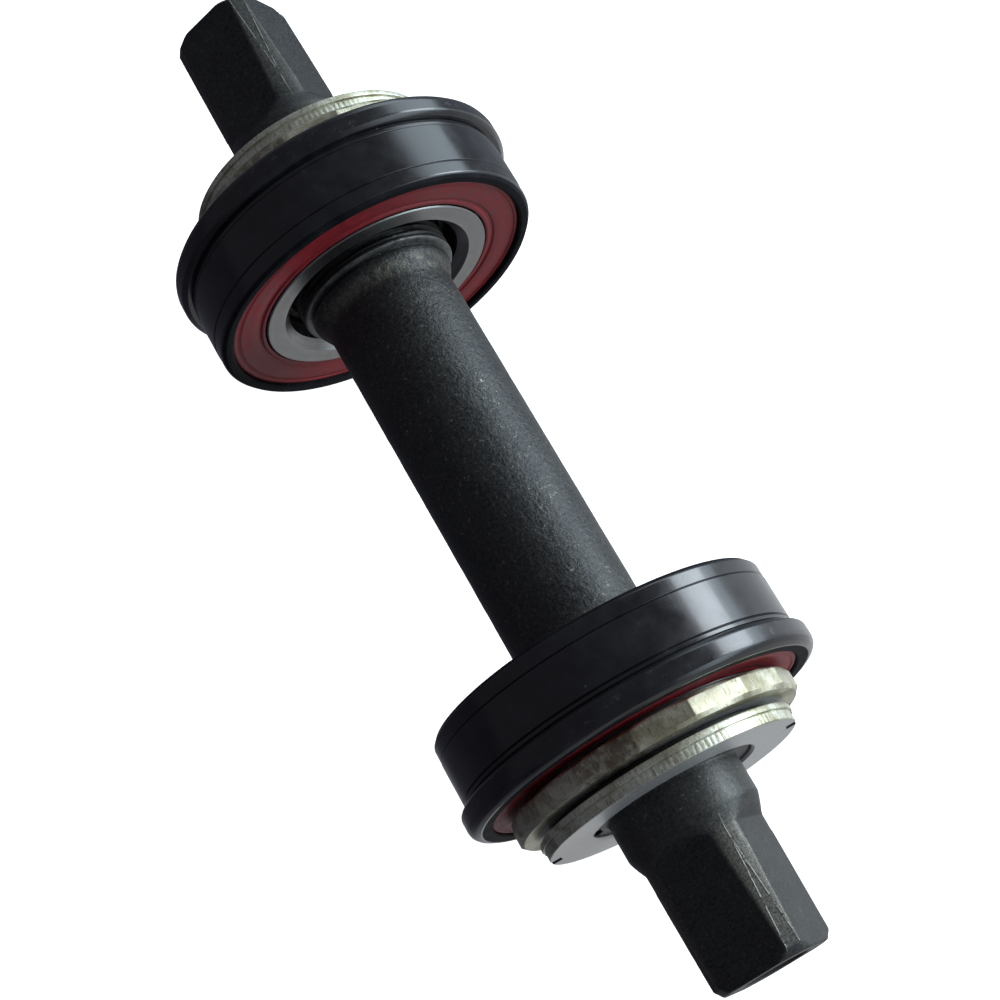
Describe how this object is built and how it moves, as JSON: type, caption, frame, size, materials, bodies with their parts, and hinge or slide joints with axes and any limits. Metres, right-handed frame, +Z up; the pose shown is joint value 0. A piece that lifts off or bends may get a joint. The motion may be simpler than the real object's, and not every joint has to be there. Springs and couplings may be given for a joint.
{
  "type": "bicycle bottom bracket",
  "caption": "Square-taper bicycle bottom bracket: a black spindle in sealed bearings held by flanged press-fit cups, with adjusting and lock nuts.",
  "frame": {"origin": "on the spindle's axis, midway between its two ends", "axes": "+Y along the spindle towards the rider's left, +X forward, +Z up"},
  "size_m": [0.0483, 0.1474, 0.0482],
  "materials": {
    "black_oxide": "satin",
    "black_gloss": "gloss",
    "bearing_steel": "satin",
    "ball_steel": "polished",
    "cage_steel": "satin",
    "seal_rubber": "satin",
    "zinc_plate": "satin",
    "washer_steel": "satin"
  },
  "bodies": {
    "cups": {"cup_left": "black_gloss", "outer_race_left": "bearing_steel", "inboard_seal_left": "seal_rubber", "outboard_seal_left": "seal_rubber", "cup_right": "black_gloss", "outer_race_right": "bearing_steel", "inboard_seal_right": "seal_rubber", "outboard_seal_right": "seal_rubber"},
    "spindle": {"spindle": "black_oxide", "inner_race_left": "bearing_steel", "adjusting_nut_left": "zinc_plate", "tab_washer_left": "washer_steel", "lock_nut_left": "zinc_plate", "inner_race_right": "bearing_steel", "adjusting_nut_right": "zinc_plate", "tab_washer_right": "washer_steel", "lock_nut_right": "zinc_plate"},
    "ball_set_left": {"balls_left": "ball_steel", "inboard_cage_left": "cage_steel", "outboard_cage_left": "cage_steel", "cage_rivets_left": "cage_steel"},
    "ball_set_right": {"balls_right": "ball_steel", "inboard_cage_right": "cage_steel", "outboard_cage_right": "cage_steel", "cage_rivets_right": "cage_steel"}
  },
  "joints": [
    {"name": "spindle_spin", "type": "hinge", "parent": "cups", "child": "spindle", "pos_m": [0, 0, 0], "axis": [0, 1, 0], "continuous": true},
    {"name": "ball_set_left_spin", "type": "hinge", "parent": "cups", "child": "ball_set_left", "pos_m": [0, 0.0341, 0], "axis": [0, 1, 0], "continuous": true},
    {"name": "ball_set_right_spin", "type": "hinge", "parent": "cups", "child": "ball_set_right", "pos_m": [0, -0.0371, 0], "axis": [0, 1, 0], "continuous": true}
  ],
  "couplings": [
    {"joint": "ball_set_left_spin", "follows": "spindle_spin", "ratio": 0.4282},
    {"joint": "ball_set_right_spin", "follows": "spindle_spin", "ratio": 0.4282}
  ]
}
